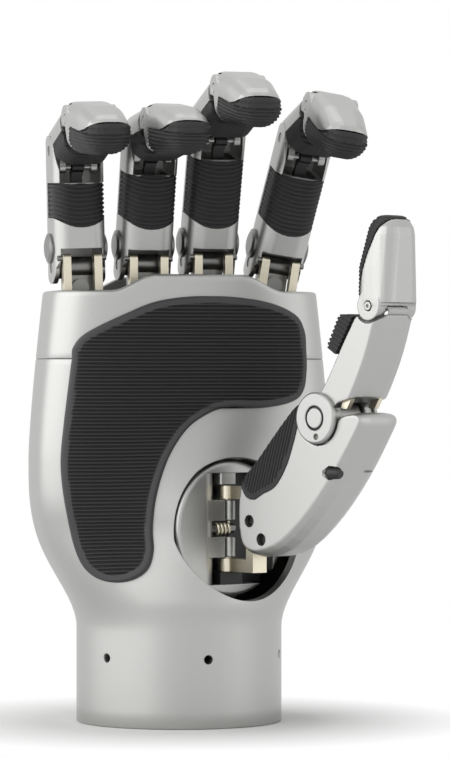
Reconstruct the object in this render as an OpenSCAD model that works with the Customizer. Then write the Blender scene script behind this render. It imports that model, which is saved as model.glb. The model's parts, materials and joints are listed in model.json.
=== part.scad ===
// Five-digit robot hand, right side.
// Origin: centre of the wrist end face. +Z runs to the fingers, the palm faces -Y, the thumb is at +X.
// All lengths are millimetres. Each digit is posed by its own angles, and every piece is placed by them.

/* [Wrist] */
// Outer diameter of the wrist collar
wrist_d = 61; // [56:0.5:66]
// Wall of the wrist collar
wrist_wall = 2.5; // [1.5:0.1:4]
// Height of the straight collar
wrist_h = 28; // [24:0.5:32]
// Depth of the open socket that takes the arm flange
socket_depth = 25; // [22:0.5:28]
// Diameter of the radial clamping screw holes
clamp_hole_d = 2.4; // [1.6:0.1:4]
// Height of the clamping screw holes above the end face
clamp_hole_z = 20.2; // [10:0.1:21]
// Number of clamping screw holes round the collar
clamp_holes = 6; // [3:1:8]

/* [Palm] */
// Greatest width of the palm
palm_w = 90.4; // [84:0.2:96]
// Height of the greatest width
palm_wide_z = 79; // [74:0.5:84]
// Room between the outer fingers and the ends of the rim
rim_room = 3.05; // [2:0.05:5]
// Distance from the wrist axis to the palm face
palm_front = 19; // [17.5:0.1:21]
// Distance from the wrist axis to the back of the hand
palm_back = 17; // [15.5:0.1:19]
// Wall of the palm housing
palm_wall = 2.2; // [1.6:0.1:3]
// Height of the seam between the two housings
seam_z = 107.5; // [103:0.5:110]
// Height of the rim at the little and index fingers
rim_low_z = 127.5; // [125:0.1:129]
// Rise of the rim at the two middle fingers
rim_rise = 4.8; // [2:0.1:6]
// Height of the ball of the thumb above the palm face
thenar_h = 8; // [5:0.1:9]
// Thickness of the palm pad
palm_pad_t = 1.9; // [1.2:0.1:2.4]

/* [Fingers] */
// Spacing of the four fingers
finger_pitch = 19.9; // [19:0.1:21]
// Width of a finger
finger_w = 15.6; // [14:0.1:16]
// Depth of a finger from pad to back
finger_t = 15; // [13.5:0.1:16]
// Corner radius of a finger's section
finger_corner = 4.6; // [3:0.1:5.5]
// Wall of the first phalanx
finger_wall = 1.5; // [1:0.1:2]
// Thickness of the finger pads
finger_pad_t = 1.5; // [1:0.1:2]
// Diameter of the knuckle pins
pin_d = 3; // [2.4:0.1:3.6]
// Radius of the hinge lugs
lug_r = 4.5; // [4:0.1:5]
// Length of a fingertip from its pin
tip_len = 25; // [23:0.5:28]

/* [Thumb] */
// Radius of the thumb turntable
table_r = 19.8; // [18:0.1:21]
// Height of the turntable's centre
table_z = 57.7; // [55:0.1:60]
// Distance of the turntable's centre from the hand's middle plane
table_x = 10.7; // [8:0.1:12]
// Tilt of the turntable towards the thumb side
table_tilt = 20; // [15:1:24]
// Width of the thumb
thumb_w = 16.4; // [15:0.1:17.5]
// Radius of the round caps on the thumb's middle knuckle
thumb_cap_r = 7.1; // [6:0.1:7.5]

/* [Fits] */
// Gap between pieces that pass each other
run_gap = 0.35; // [0.3:0.05:0.5]
// Radial clearance of a pin in its hole
pin_gap = 0.05; // [0.03:0.01:0.08]
// Gap between a pad and the shell that it is bonded to
bond_gap = 0.05; // [0.02:0.01:0.1]

/* [Hidden] */
FINGERS = ["pinky", "ring", "middle", "index"];
$fn = 48;

silver = "#c9c8c4";
rubber = "#3a3a3a";
nickel = "#d8d3b8";
steel = "#8d8d8b";
black = "#161616";

wrist_r = wrist_d / 2;
neck_z = wrist_h;
palm_top_w = 3 * finger_pitch + finger_w + 2 * rim_room;
loft_sides = 56;

// Pose of the four fingers: sideways splay, knuckle bend, middle bend and tip bend, in degrees
splay = [-2, 0, 0, 8.5];
knuckle_bend = [3, 13, 16, 20.5];
middle_bend = [69.5, 71.5, 56, 52.5];
tip_bend = [24.5, 9, 28, 37];
// Heights of the knuckle axes and lengths of the first two phalanges
knuckle_z = [134.5, 135.5, 136.5, 135.5];
proximal_len = [34.5, 37.5, 42, 39.5];
middle_len = [20, 19.5, 22, 21];
function finger_x(i) = (i - 1.57) * finger_pitch;

// Thumb joints in the thumb's own plane: distance out from the turntable and height above its centre
thumb_azimuth = 208;
thumb_knuckle = [42.3, 32.8];
thumb_tip_joint = [61.5, 64.4];

function clamp01(t) = max(0, min(1, t));
function smooth(t) = let (u = clamp01(t)) u * u * (3 - 2 * u);
function mix(a, b, t) = a + (b - a) * t;

// ---------------------------------------------------------------- palm form
// Half width, front, back and squareness of the palm at height z
function half_width(z) = z <= palm_wide_z
    ? let (u = clamp01((z - neck_z) / (palm_wide_z - neck_z)))
      mix(wrist_r, palm_w / 2, smooth(0.93 * sin(90 * u) + 0.07 * u))
    : mix(palm_w / 2, palm_top_w / 2, pow((z - palm_wide_z) / (rim_low_z - palm_wide_z), 1.3));
function front_y(z) = -mix(wrist_r, palm_front, smooth((z - neck_z) / 32));
function back_y(z) = mix(wrist_r, palm_back, smooth((z - neck_z) / 36));
function squareness(z) = mix(2, 3.4, smooth((z - neck_z) / 40));
// The ball of the thumb, a smooth mound beside the turntable
function thenar(x, z) = thenar_h * smooth((z - neck_z) / 9)
    * exp(-(pow(x - table_x + 9, 2) + pow(z - table_z, 2)) / (2 * 196));
function signed_pow(v, p) = sign(v) * pow(abs(v), p);
function ring_point(z, a, inset, mound) =
    let (p = 2 / squareness(z),
         mid = (front_y(z) + back_y(z)) / 2,
         deep = (back_y(z) - front_y(z)) / 2 - inset,
         x = (half_width(z) - inset) * signed_pow(cos(a), p),
         y = deep * signed_pow(sin(a), p))
    [x, mid + y - mound * thenar(x, z) * clamp01(-y / deep * 1.6), z];
// A closed loft through the sections at the heights zs
module palm_loft(zs, inset = 0, mound = 1, sides = loft_sides) {
    n = len(zs);
    pts = [for (z = zs) for (k = [0:sides - 1]) ring_point(z, 360 * k / sides, inset, mound)];
    faces = concat(
        [[for (k = [0:sides - 1]) k]],
        [for (r = [0:n - 2]) for (k = [0:sides - 1]) for (t = [0, 1])
            let (a = r * sides + k, b = r * sides + (k + 1) % sides)
            t == 0 ? [a, a + sides, b] : [b, a + sides, b + sides]],
        [[for (k = [sides - 1:-1:0]) (n - 1) * sides + k]]);
    polyhedron(points = pts, faces = faces, convexity = 6);
}
lower_zs = [neck_z, 32, 36, 40, 44, 48, 53, 58, 64, 71, 79, 88, 98, seam_z];
upper_zs = [seam_z, 115, 122, 128, 134];
inner_zs = [neck_z + 4, 40, 48, 56, 66, 79, 94, seam_z + 1];

module at_turntable() translate([table_x, -palm_front, table_z]) rotate([90, 0, table_tilt]) children();
table_t = 8;
pocket_gap = 0.5;
blend_step = 0.03;
spindle_r = 6;
spindle_len = 7;

module clamp_holes() {
    for (k = [0:clamp_holes - 1]) rotate([0, 0, 360 * k / clamp_holes - 90])
        translate([wrist_r - wrist_wall - 1, 0, clamp_hole_z]) rotate([0, 90, 0])
            cylinder(d = clamp_hole_d, h = wrist_wall + 2, $fn = 32);
}

module palm_shell() color(silver) difference() {
    union() {
        difference() {
            union() {
                cylinder(r = wrist_r, h = neck_z, $fn = 96);
                palm_loft(concat([neck_z - 1], lower_zs), inset = blend_step);
            }
            palm_loft(inner_zs, inset = palm_wall, mound = 0, sides = 32);
            translate([0, 0, socket_depth]) cylinder(r1 = wrist_r - wrist_wall - 3, r2 = wrist_r - 4,
                h = neck_z + 5 - socket_depth, $fn = 64);
        }
        intersection() {
            at_turntable() translate([0, 0, -table_t - 3]) cylinder(r = table_r + 2.2, h = table_t + 2, $fn = 64);
            palm_loft([58 - 26, 40, 48, 58, 66, 76, 86], inset = 0.4, sides = 32);
        }
    }
    translate([0, 0, -1]) cylinder(r = wrist_r - wrist_wall, h = socket_depth + 1, $fn = 96);
    clamp_holes();
    at_turntable() {
        translate([0, 0, -table_t - pocket_gap]) cylinder(r = table_r + pocket_gap, h = 30, $fn = 96);
        translate([0, 0, -30]) cylinder(r = spindle_r + pin_gap, h = 30, $fn = 64);
    }
}

// Height of the wavy rim at x
function rim_z(x) = rim_low_z + rim_rise * smooth((x + 24) / 8) * smooth((26 - x) / 8);
module rim_cut(side) {
    xs = [for (k = [0:24]) -48 + 4 * k];
    rotate([90, 0, 0]) linear_extrude(height = 80, center = true)
        polygon(concat([for (x = xs) [x, rim_z(x)]], [[48, 160], [-48, 160]]));
}
module knuckle_shell() color(silver) difference() {
    palm_loft(upper_zs);
    palm_loft([seam_z - 1, 115, 122, 128, 135], inset = palm_wall, mound = 0, sides = 40);
    rim_cut();
}

// Outline of the palm pad in the palm's own plane
module pad_outline() polygon([[-36.8, 107], [-36.3, 111], [-32.6, 115.2], [-22, 120.5], [-11, 124.6], [4, 126], [20, 124.6],
    [30, 121], [33.4, 116], [34, 110], [34.1, 104], [33, 98], [29.3, 94.8], [20.3, 93.1], [8.8, 93.1], [2.6, 91.1],
    [-3.3, 87], [-8.4, 80.1], [-11.7, 72.8], [-13.8, 65.3], [-14.6, 58], [-14.6, 51.8], [-16.3, 46.9], [-20.5, 43.7],
    [-25.2, 42.5], [-29.3, 43.6], [-32.6, 46.2], [-34.8, 51.1], [-37, 59.2], [-39.1, 68.8], [-39.9, 78.1],
    [-39, 88.8], [-37.6, 100.7]]);
module palm_pad() color(rubber) {
    difference() {
        intersection() {
            palm_loft([30, 40, 48, 58, 66, 76, 86, 96, seam_z, 116, 126], inset = -palm_pad_t, sides = 44);
            rotate([90, 0, 0]) linear_extrude(height = 60) pad_outline();
        }
        palm_loft([29, 40, 48, 58, 66, 76, 86, 96, seam_z, 116, 127], inset = -bond_gap, sides = 44);
        at_turntable() cylinder(r = table_r + 2.4, h = 60, center = true, $fn = 64);
    }
}

// ---------------------------------------------------------------- inside the palm
frame_t = 4;
frame_top = 121;
frame_y = 11;
carrier_z = 116;
module palm_frame() color(steel) {
    difference() {
        union() {
            translate([0, frame_y, 0]) rotate([90, 0, 0]) linear_extrude(height = frame_t)
                polygon([[-20, 36], [20, 36], [31, 62], [31, frame_top], [-31, frame_top], [-31, 62]]);
            translate([0, 0, socket_depth + 5.1]) cylinder(r = wrist_r - wrist_wall - 2.5, h = 3, $fn = 64);
            translate([-10, 4, 33]) cube([20, frame_y - 4, 5]);
            for (i = [0:3]) translate([finger_x(i), 0, 0]) knuckle_carrier(i);
        }
        translate([0, 0, 20]) cylinder(r = 5, h = 30, $fn = 48);
    }
}
// The fork that carries one finger's knuckle block on a fore-and-aft pin
block_w = 8.6;
block_t = 4.4;
carrier_w = 4.2;
carrier_head = 5.2;
carrier_t = 1.6;
module knuckle_carrier(i) {
    for (y = [block_t / 2 + run_gap, -block_t / 2 - run_gap - carrier_t]) translate([0, y, 0]) {
        translate([-carrier_w / 2, 0, carrier_z])
            cube([carrier_w, carrier_t, knuckle_z[i] - spread_drop - carrier_z]);
        translate([0, carrier_t, knuckle_z[i] - spread_drop]) rotate([90, 0, 0])
            cylinder(d = carrier_head, h = carrier_t, $fn = 32);
    }
    translate([-carrier_w / 2, -block_t / 2 - run_gap - carrier_t, carrier_z])
        cube([carrier_w, frame_y + block_t / 2 + run_gap + carrier_t - frame_t, 4]);
    translate([0, 0, knuckle_z[i] - spread_drop]) rotate([90, 0, 0])
        cylinder(d = pin_d, h = block_t + 2 * run_gap + 2 * carrier_t, center = true, $fn = 32);
}

motor_d = 8.6;
motor_len = 20;
screw_len = 6;
motor_z = 80;
motor_y = -3;
module finger_actuators() color(black) {
    for (i = [0:3]) for (side = [-1, 1]) translate([finger_x(i) + side * 4.6, motor_y, motor_z]) {
        cylinder(d = motor_d, h = motor_len, $fn = 40);
        translate([0, 0, motor_len]) cylinder(d = 5, h = 3, $fn = 32);
        translate([0, 0, motor_len + 3]) cylinder(d = 2.4, h = screw_len, $fn = 24);
    }
}

module thumb_actuator() color(black) at_turntable()
    translate([0, 0, -table_t - spindle_len - run_gap - 8]) {
        cylinder(r = 7.5, h = 8, $fn = 48);
        translate([0, 0, -2]) cylinder(r = 4, h = 2, $fn = 32);
    }
module control_board() color("#1f5a3a") {
    translate([-27, frame_y + 0.2, 48]) cube([54, 1.2, 52]);
    for (p = [[-18, 54], [4, 60], [-10, 78], [8, 84]])
        translate([p[0], frame_y + 1.4, p[1]]) cube([9, 1.2, 9]);
}

// ---------------------------------------------------------------- finger placing
spread_drop = 6;
dip_y = 2.2;
module at_knuckle(i) translate([finger_x(i), 0, knuckle_z[i] - spread_drop]) rotate([0, splay[i], 0])
    translate([0, 0, spread_drop]) children();
module at_proximal(i) at_knuckle(i) rotate([knuckle_bend[i], 0, 0]) children();
module at_middle(i) at_proximal(i) translate([0, 0, proximal_len[i]]) rotate([middle_bend[i], 0, 0]) children();
module at_distal(i) at_middle(i) translate([0, dip_y, middle_len[i]]) rotate([tip_bend[i], 0, 0]) children();

// A bar along Z with a rounded section, from z0 to z1
module rounded_bar(w, t, r, z0, z1, sides = 40) translate([0, 0, z0]) linear_extrude(height = z1 - z0) {
    square([w - 2 * r, t], center = true);
    square([w, t - 2 * r], center = true);
    for (x = [-1, 1], y = [-1, 1]) translate([x * (w / 2 - r), y * (t / 2 - r)]) circle(r = r, $fn = sides);
}
hull_sides = 24;
ball_sides = 18;
module finger_bar(inset, z0, z1)
    rounded_bar(finger_w - 2 * inset, finger_t - 2 * inset, finger_corner - inset, z0, z1);
// A side profile in the bending plane (y, z), drawn right across the finger
module across(w) rotate([90, 0, 90]) translate([0, 0, -w / 2]) linear_extrude(height = w) children();
module cross_pin(d, w) rotate([0, 90, 0]) cylinder(d = d, h = w, center = true, $fn = 32);

ear_t = 1.5;
ear_in = finger_w / 2 - ear_t;
ear_r = 4.6;
window_z = 5.8;
wall_top = 9.5;
pad_start = 12;
half_t = finger_t / 2;
bar_pin = [-6, 3];
bar_x = 4.7;
bar_w = 2.4;
bar_t = 2.4;
bar_len = 19;
bar_pin_d = 1.6;
bar_stub = finger_w / 2 - 0.5 - bar_x + bar_w / 2;
tab_pin = [-5.6, 1];
tab_x = 4.8;
tab_w = 1.8;

// Block that carries the finger: it swings sideways on the carrier and holds the bending pin
module knuckle(i) color(steel) at_knuckle(i) difference() {
    union() {
        translate([-block_w / 2, -block_t / 2, -spread_drop - 3]) cube([block_w, block_t, spread_drop + 3]);
        cross_pin(6.4, 2 * (ear_in - run_gap));
    }
    cross_pin(pin_d + 2 * pin_gap, 30);
    translate([0, 0, -spread_drop]) rotate([90, 0, 0])
        cylinder(r = pin_d / 2 + pin_gap, h = 20, center = true, $fn = 32);
}

function arc(centre, r, a0, a1, n) = [for (k = [0:n])
    let (a = mix(a0, a1, k / n)) centre + r * [cos(a), sin(a)]];
module proximal_profile(l) polygon(concat(
    arc([0, 0], ear_r, 0, -180, 20),
    [[-half_t, 4], [-half_t, l - wall_top], [-half_t + 0.6, l - wall_top + 1.4]],
    arc([0, l], lug_r, 180, 0, 20),
    [[half_t, l - 0.6], [half_t, 3]]));
// Region of the first pad, cut into the shell
// Its lower edge hangs in a shallow curve, and it wraps round the finger's sides
pad_sag = 2.8;
pad_wrap = 2.5;
module proximal_pad_zone(i, grow) translate([0, pad_wrap + grow, 0]) rotate([90, 0, 0]) linear_extrude(height = 20)
    polygon(concat([[-20, pad_start + pad_sag - grow]],
        [for (k = [-4:4]) [k * 1.95, pad_start + pad_sag * k * k / 16 - grow]],
        [[20, pad_start + pad_sag - grow]],
        [[20, proximal_len[i] - wall_top + grow], [-20, proximal_len[i] - wall_top + grow]]));
module proximal_shell(i) color(silver) at_proximal(i) let (l = proximal_len[i]) difference() {
    intersection() {
        finger_bar(0, -8, l + 8);
        across(30) proximal_profile(l);
    }
    finger_bar(finger_wall + finger_pad_t - 0.4, -9, l + 9);
    for (z = [[-9, window_z], [l - wall_top, l + 9]]) translate([-ear_in, -20, z[0]])
        cube([2 * ear_in, 20 + half_t - ear_t, z[1] - z[0]]);
    difference() {
        proximal_pad_zone(i, bond_gap);
        finger_bar(finger_pad_t - 0.4 + bond_gap, 0, l);
    }
    cross_pin(pin_d, 30);
    translate([0, 0, l]) cross_pin(pin_d, 30);
    translate([0, bar_pin[0], bar_pin[1]]) cross_pin(bar_pin_d, 30);
}
module proximal_pad(i) color(rubber) at_proximal(i) difference() {
    intersection() {
        finger_bar(0, 0, proximal_len[i]);
        proximal_pad_zone(i, 0);
    }
    finger_bar(finger_pad_t - 0.4, -1, proximal_len[i] + 1);
}
// Bending pins of the knuckle and the middle joint, and the domed caps beside the knuckle
cap_r = 4.4;
cap_t = 1.1;
module pins(i) color(steel) at_proximal(i) {
    cross_pin(pin_d, finger_w - 0.4);
    translate([0, 0, proximal_len[i]]) cross_pin(pin_d, finger_w - 0.4);
    for (side = [-1, 1]) translate([side * (bar_x + bar_stub / 2 - bar_w / 2), bar_pin[0], bar_pin[1]])
        cross_pin(bar_pin_d, bar_stub);
    for (side = [-1, 1]) translate([side * finger_w / 2, 0.6, window_z]) rotate([0, 90 * side, 0]) {
        cylinder(r = cap_r, h = cap_t - 0.5, $fn = 40);
        translate([0, 0, cap_t - 0.5]) cylinder(r1 = cap_r, r2 = cap_r - 1.2, h = 0.5, $fn = 40);
    }
}
// The pair of push bars that bend the knuckle; their lower ends ride on the motors' nuts
module drive_bars(i) color(nickel) at_knuckle(i) let (a = knuckle_bend[i])
    translate([0, bar_pin[0] * cos(a) - bar_pin[1] * sin(a), bar_pin[0] * sin(a) + bar_pin[1] * cos(a)]) {
        for (side = [-1, 1]) difference() {
            translate([side * bar_x - bar_w / 2, 0, 0]) union() {
                translate([0, -bar_t / 2, -bar_len]) cube([bar_w, bar_t, bar_len]);
                translate([bar_w / 2, 0, 0]) cross_pin(bar_t, bar_w);
            }
            cross_pin(bar_pin_d + 2 * pin_gap, 30);
        }
    }
// Dark rod that curls the middle joint, hung from the tabs of the second phalanx
rod_w = 3.4;
rod_t = 1.8;
rod_set = 1.9;
rod_foot = 14;
module curl_rod(i) color(black) at_proximal(i) let (a = middle_bend[i], l = proximal_len[i])
    translate([0, tab_pin[0] * cos(a) - tab_pin[1] * sin(a), l + tab_pin[0] * sin(a) + tab_pin[1] * cos(a)])
        difference() {
            union() {
                translate([-rod_w / 2, rod_set - rod_t / 2, -l + rod_foot]) cube([rod_w, rod_t, l - rod_foot - 1.2]);
                translate([-rod_w / 2, 0, -2.6]) cube([rod_w, rod_set, 2]);
                cross_pin(3, rod_w);
            }
            cross_pin(1.4 + 2 * pin_gap, 30);
        }

rod_slot_y = 2.4;
tongue_x = ear_in - run_gap;
dip_r = 4.3;
dip_tongue_x = 4;
dip_tongue_r = 3.3;
module middle_zone(i, grow) translate([-20, -20, 0]) cube([40, 20 + grow, 60]);
// How far the lip of the second pad lies below the tip joint, lowest where the tip bends furthest
lip_drop = [4, 4, 4.6, 6.4];
module middle_wide(i) let (l = middle_len[i]) difference() {
    intersection() {
        finger_bar(0, 0.4, l + 3);
        across(30) polygon([[half_t, 0.4], [half_t, l + 0.2], [dip_y + 1, l + 2.4], [dip_y - 2, l - 0.8],
            [-half_t, l - lip_drop[i]], [-half_t, 8], [-4.4, 6.5], [-1.5, 5.4], [4.8, 0.4]]);
    }
    cross_pin(2 * (lug_r + run_gap), 40);
    translate([0, dip_y, l]) cross_pin(2 * (dip_r + run_gap), 40);
}
module middle_shell(i) color(silver) at_middle(i) let (l = middle_len[i]) difference() {
    union() {
        difference() {
            middle_wide(i);
            difference() {
                middle_zone(i, bond_gap);
                finger_bar(finger_pad_t + bond_gap, 0, 60);
            }
        }
        cross_pin(2 * lug_r - 0.2, 2 * tongue_x);
        translate([-tongue_x, -3, 0]) cube([2 * tongue_x, 6.4, 7]);
        for (side = [-1, 1]) across_at(side * tab_x, tab_w) {
            translate(tab_pin) circle(r = 1.7, $fn = 28);
            polygon([[tab_pin[0] - 0.2, tab_pin[1] + 1.68], [tab_pin[0] - 0.2, tab_pin[1] - 1.68],
                [-2, -2.6], [-2, 4]]);
        }
        translate([0, tab_pin[0], tab_pin[1]]) cross_pin(1.4, 2 * tab_x);
        translate([0, dip_y, l]) cross_pin(2 * dip_tongue_r, 2 * dip_tongue_x);
        translate([-dip_tongue_x, dip_y - dip_tongue_r, l - 7]) cube([2 * dip_tongue_x, dip_tongue_r + 1.8, 7]);
        translate([0, dip_y, l]) cross_pin(pin_d - 0.6, finger_w - 0.6);
    }
    cross_pin(pin_d + 2 * pin_gap, 40);
    translate([-rod_w / 2 - run_gap, -30, -9]) cube([rod_w + 2 * run_gap, 30 - rod_slot_y, 14]);
}
module across_at(x, w) translate([x, 0, 0]) across(w) children();
module middle_pad(i) color(rubber) at_middle(i) difference() {
    intersection() {
        middle_wide(i);
        middle_zone(i, 0);
    }
    finger_bar(finger_pad_t, 0, 60);
}

tip_r = 6.1;
module tip_form(inset) translate([0, -dip_y, 0]) hull() {
    translate([0, 0, 0.6])
        rounded_bar(finger_w - 2 * inset, finger_t - 2 * inset, finger_corner - inset, 0, 2, hull_sides);
    translate([0, -0.3, 12])
        rounded_bar(finger_w - 0.4 - 2 * inset, 14.2 - 2 * inset, 5 - inset, 0, 0.5, hull_sides);
    for (side = [-1, 1]) translate([side * 1.3, -0.9, tip_len - tip_r])
        sphere(r = tip_r - inset, $fn = ball_sides);
}
module tip_zone(grow) across(40)
    polygon([[-2.08 + grow, 5.4 - grow], [-6.3 + grow, 66], [-40, 66], [-40, 1 - grow]]);
module distal_shell(i) color(silver) at_distal(i) difference() {
    union() {
        difference() {
            tip_form(0);
            tip_zone(bond_gap);
        }
        tip_form(finger_pad_t + bond_gap);
        cross_pin(2 * dip_r, finger_w - 0.2);
    }
    across(40) polygon([[-2.4, -9], [-2.4, 0.9], [-14, 6.2], [-14, -9]]);
    across(2 * (dip_tongue_x + run_gap)) {
        circle(r = dip_tongue_r + run_gap, $fn = 48);
        polygon([[2.2, 0], [2.2, -9], [-14, -9], [-14, 6.2], [-3, 1.6], [-dip_tongue_r - run_gap, 0]]);
    }
    cross_pin(pin_d - 0.6 + 2 * pin_gap, 40);
}
module distal_pad(i) color(rubber) at_distal(i) difference() {
    intersection() {
        tip_form(0);
        tip_zone(0);
    }
    tip_form(finger_pad_t);
}

// ---------------------------------------------------------------- thumb forms
module at_thumb() translate([table_x, -palm_front, table_z]) rotate([0, 0, thumb_azimuth]) children();
function wrapped(v, j) = v[(j + len(v)) % len(v)];
// A smooth closed curve through the given points, n steps from one to the next
function curve(p, n) = [for (j = [0:len(p) - 1]) for (k = [0:n - 1])
    let (t = k / n, a = wrapped(p, j - 1), b = p[j], c = wrapped(p, j + 1), d = wrapped(p, j + 2))
    0.5 * (2 * b + (c - a) * t + (2 * a - 5 * b + 4 * c - d) * t * t + (3 * b - a - 3 * c + d) * t * t * t)];
// A crowned slab: the outline (y, z, crown) drawn in by its crown towards both faces
layers = [-1.06, -0.97, -0.85, -0.5, 0.5, 0.85, 0.97, 1.06];
module pillow(outline, w, inset = 0) intersection() {
    pillow_body(outline, w, inset);
    cube([w - 2 * inset, 300, 300], center = true);
}
module pillow_body(outline, w, inset) {
    o = curve(outline, 3);
    m = len(o);
    pts = [for (s = layers) for (j = [0:m - 1])
        let (t = wrapped(o, j + 1) - wrapped(o, j - 1), len_t = norm([t[0], t[1]]),
             d = inset + o[j][2] * (1 - pow(max(0, 1 - pow(abs(s), 2.6)), 1 / 2.6)))
        [s * (w / 2 - inset), o[j][0] - d * t[1] / len_t, o[j][1] + d * t[0] / len_t]];
    faces = concat(
        [[for (j = [0:m - 1]) j]],
        [for (r = [0:len(layers) - 2]) for (j = [0:m - 1]) for (k = [0, 1])
            let (a = r * m + j, b = r * m + (j + 1) % m)
            k == 0 ? [a, a + m, b] : [b, a + m, b + m]],
        [[for (j = [m - 1:-1:0]) (len(layers) - 1) * m + j]]);
    polyhedron(points = pts, faces = faces, convexity = 4);
}
metacarpal_outline = [[10, 8, 1], [10.2, -2, 1.6], [13, -6.6, 2.4], [19, -8, 3.4], [29, -5.4, 4.4], [40, 3.4, 4.4],
    [50, 15, 4], [57.4, 27, 2.4], [59.2, 32, 1.4], [57, 34.6, 1.2], [51, 33.8, 1.2], [46, 30.6, 1.2], [40, 38, 1.4],
    [34, 37.4, 1.5], [27, 31.2, 1.5], [17, 20.6, 1.5], [12, 15.4, 1.2]];
proximal_outline = [[40, 27, 1.6], [47, 27, 1.6], [53, 34, 2.2], [58, 41.5, 2.6], [62.6, 51, 2.8], [66.2, 62, 2.8],
    [67.4, 70, 2], [61, 71, 1.6], [55.4, 62, 2], [50.4, 54, 2], [44.4, 44, 2], [39.5, 36, 1.6]];
// Form of the thumb's tip, drawn in by inset
thumb_tip_r = 5.6;
module thumb_tip_form(inset) hull() {
    translate([0, 61.9, 64.6])
        rounded_bar(thumb_w - 2 * inset, 12.6 - 2 * inset, 4.6 - inset, 0, 2, hull_sides);
    translate([0, 61.7, 75])
        rounded_bar(thumb_w - 0.4 - 2 * inset, 12.6 - 2 * inset, 5 - inset, 0, 0.5, hull_sides);
    for (side = [-1, 1]) translate([side * 1.8, 63.4, 90.3 - thumb_tip_r])
        sphere(r = thumb_tip_r - inset, $fn = ball_sides);
}
module thumb_pin(p, d, w) translate([0, p[0], p[1]]) cross_pin(d, w);
thumb_tongue_x = 4.4;
thumb_half = thumb_w / 2;
tip_hub_r = 4.4;

module metacarpal_zone(grow) across(40) polygon([[8, 16 - grow], [13.6 + grow, 12.4 - grow], [19.6 + grow, 15],
    [30.6 + grow, 27.6], [34.2 + grow, 33.4], [33 + grow, 50], [8, 50]]);
module thumb_metacarpal_shell() color(silver) at_thumb() difference() {
    union() {
        difference() {
            pillow(metacarpal_outline, thumb_w);
            metacarpal_zone(bond_gap);
            thumb_pin(thumb_knuckle, 2 * (thumb_cap_r + run_gap + 0.1), 40);
            across(40) polygon([[42.3, 25], [36, 29], [33, 33], [35, 45], [48, 45], [48, 33]]);
        }
        thumb_pin(thumb_knuckle, 11.6, 2 * thumb_tongue_x);
        across(2 * thumb_tongue_x) polygon([[32, 29], [40, 37.8], [46, 29], [40, 18]]);
    }
    thumb_pin(thumb_knuckle, pin_d + 2 * pin_gap, 40);
    for (p = [[14.9, 2.8], [19.7, -2.4]]) translate([thumb_half - 4, p[0], p[1]]) rotate([0, 90, 0])
        cylinder(d = 2.6, h = 6, $fn = 32);
    translate([-4.2, 0, -8.2]) cube([8.4, 13, 24]);
}
module thumb_metacarpal_pad() color(rubber) at_thumb() difference() {
    intersection() {
        pillow(metacarpal_outline, thumb_w);
        metacarpal_zone(0);
    }
    thumb_pin(thumb_knuckle, 2 * (thumb_cap_r + run_gap + 0.1), 40);
}
module thumb_proximal_shell() color(silver) at_thumb() difference() {
    union() {
        difference() {
            pillow(proximal_outline, thumb_w);
            across(40) polygon([[30, 20], [30, 26], [42.3, 32.8], [46.5, 34], [50, 37], [56, 38.6], [70, 38.6], [70, 20]]);
            across(40) polygon([[50, 61], [56.9, 61.3], [59.4, 63.9], [80, 63.9], [80, 80], [50, 80]]);
        }
        thumb_pin(thumb_knuckle, 2 * thumb_cap_r - 0.6, thumb_w - 0.2);
    }
    across(2 * (thumb_tongue_x + run_gap)) {
        translate(thumb_knuckle) circle(r = 5.8 + run_gap, $fn = 48);
        polygon([[32, 20], [32, 36.4], [36, 39.4], [39.6, 38.6], [46, 37], [54, 37], [58, 20]]);
    }
    thumb_pin(thumb_tip_joint, 2 * (tip_hub_r + run_gap), 40);
    thumb_pin(thumb_knuckle, pin_d, 40);
    for (x = [-link_x, link_x]) across_at(x, link_w + 2 * bond_gap) offset(delta = bond_gap) polygon(link_shape);
}
module thumb_proximal_pad() color(rubber) at_thumb() difference() {
    across(thumb_w - 3) polygon([[44.8, 44], [52, 53.4], [57.4, 61.6], [53.4, 61.8], [50, 61.4], [45.6, 56],
        [42.4, 48]]);
    pillow(proximal_outline, thumb_w, -bond_gap);
    thumb_pin(thumb_tip_joint, 2 * (tip_hub_r + run_gap), 40);
}
module tip_strip(grow) across(40) polygon([[50, 66 - grow], [57.6 + grow, 67.6 - grow], [58.2 + grow, 72], [60.6 + grow, 79],
    [64.2 + grow, 86], [66.6 + grow, 89], [66.6, 99], [50, 99]]);
module thumb_distal_shell() color(silver) at_thumb() difference() {
    union() {
        difference() {
            thumb_tip_form(0);
            tip_strip(bond_gap);
        }
        thumb_tip_form(1.4 + bond_gap);
        thumb_pin(thumb_tip_joint, 8.6, thumb_w - 0.2);
    }
    across(2 * (dip_tongue_x + run_gap)) translate(thumb_tip_joint) {
        circle(r = 3.6 + run_gap, $fn = 48);
        polygon([[3.4, 0], [6, -9], [-12, -9], [-12, -2], [-3, 2]]);
    }
    thumb_pin(thumb_tip_joint, pin_d - 0.6 + 2 * pin_gap, 40);
}
module thumb_distal_pad() color(rubber) at_thumb() difference() {
    intersection() {
        thumb_tip_form(0);
        tip_strip(0);
    }
    thumb_tip_form(1.4);
}
// Hinge pin of the thumb's knuckle with a round cap at each end
module thumb_caps() color(silver) at_thumb() {
    thumb_pin(thumb_knuckle, pin_d, thumb_w);
    for (side = [-1, 1]) translate([side * thumb_half, thumb_knuckle[0], thumb_knuckle[1]]) rotate([0, 90 * side, 0])
        difference() {
            union() {
                cylinder(r = thumb_cap_r, h = 0.9, $fn = 64);
                translate([0, 0, 0.9]) cylinder(r1 = thumb_cap_r, r2 = thumb_cap_r - 0.6, h = 0.5, $fn = 64);
            }
            rotate([0, 0, side * 60]) translate([4.8, 0, -1]) cylinder(d = 1.6, h = 4, $fn = 24);
        }
}
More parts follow.
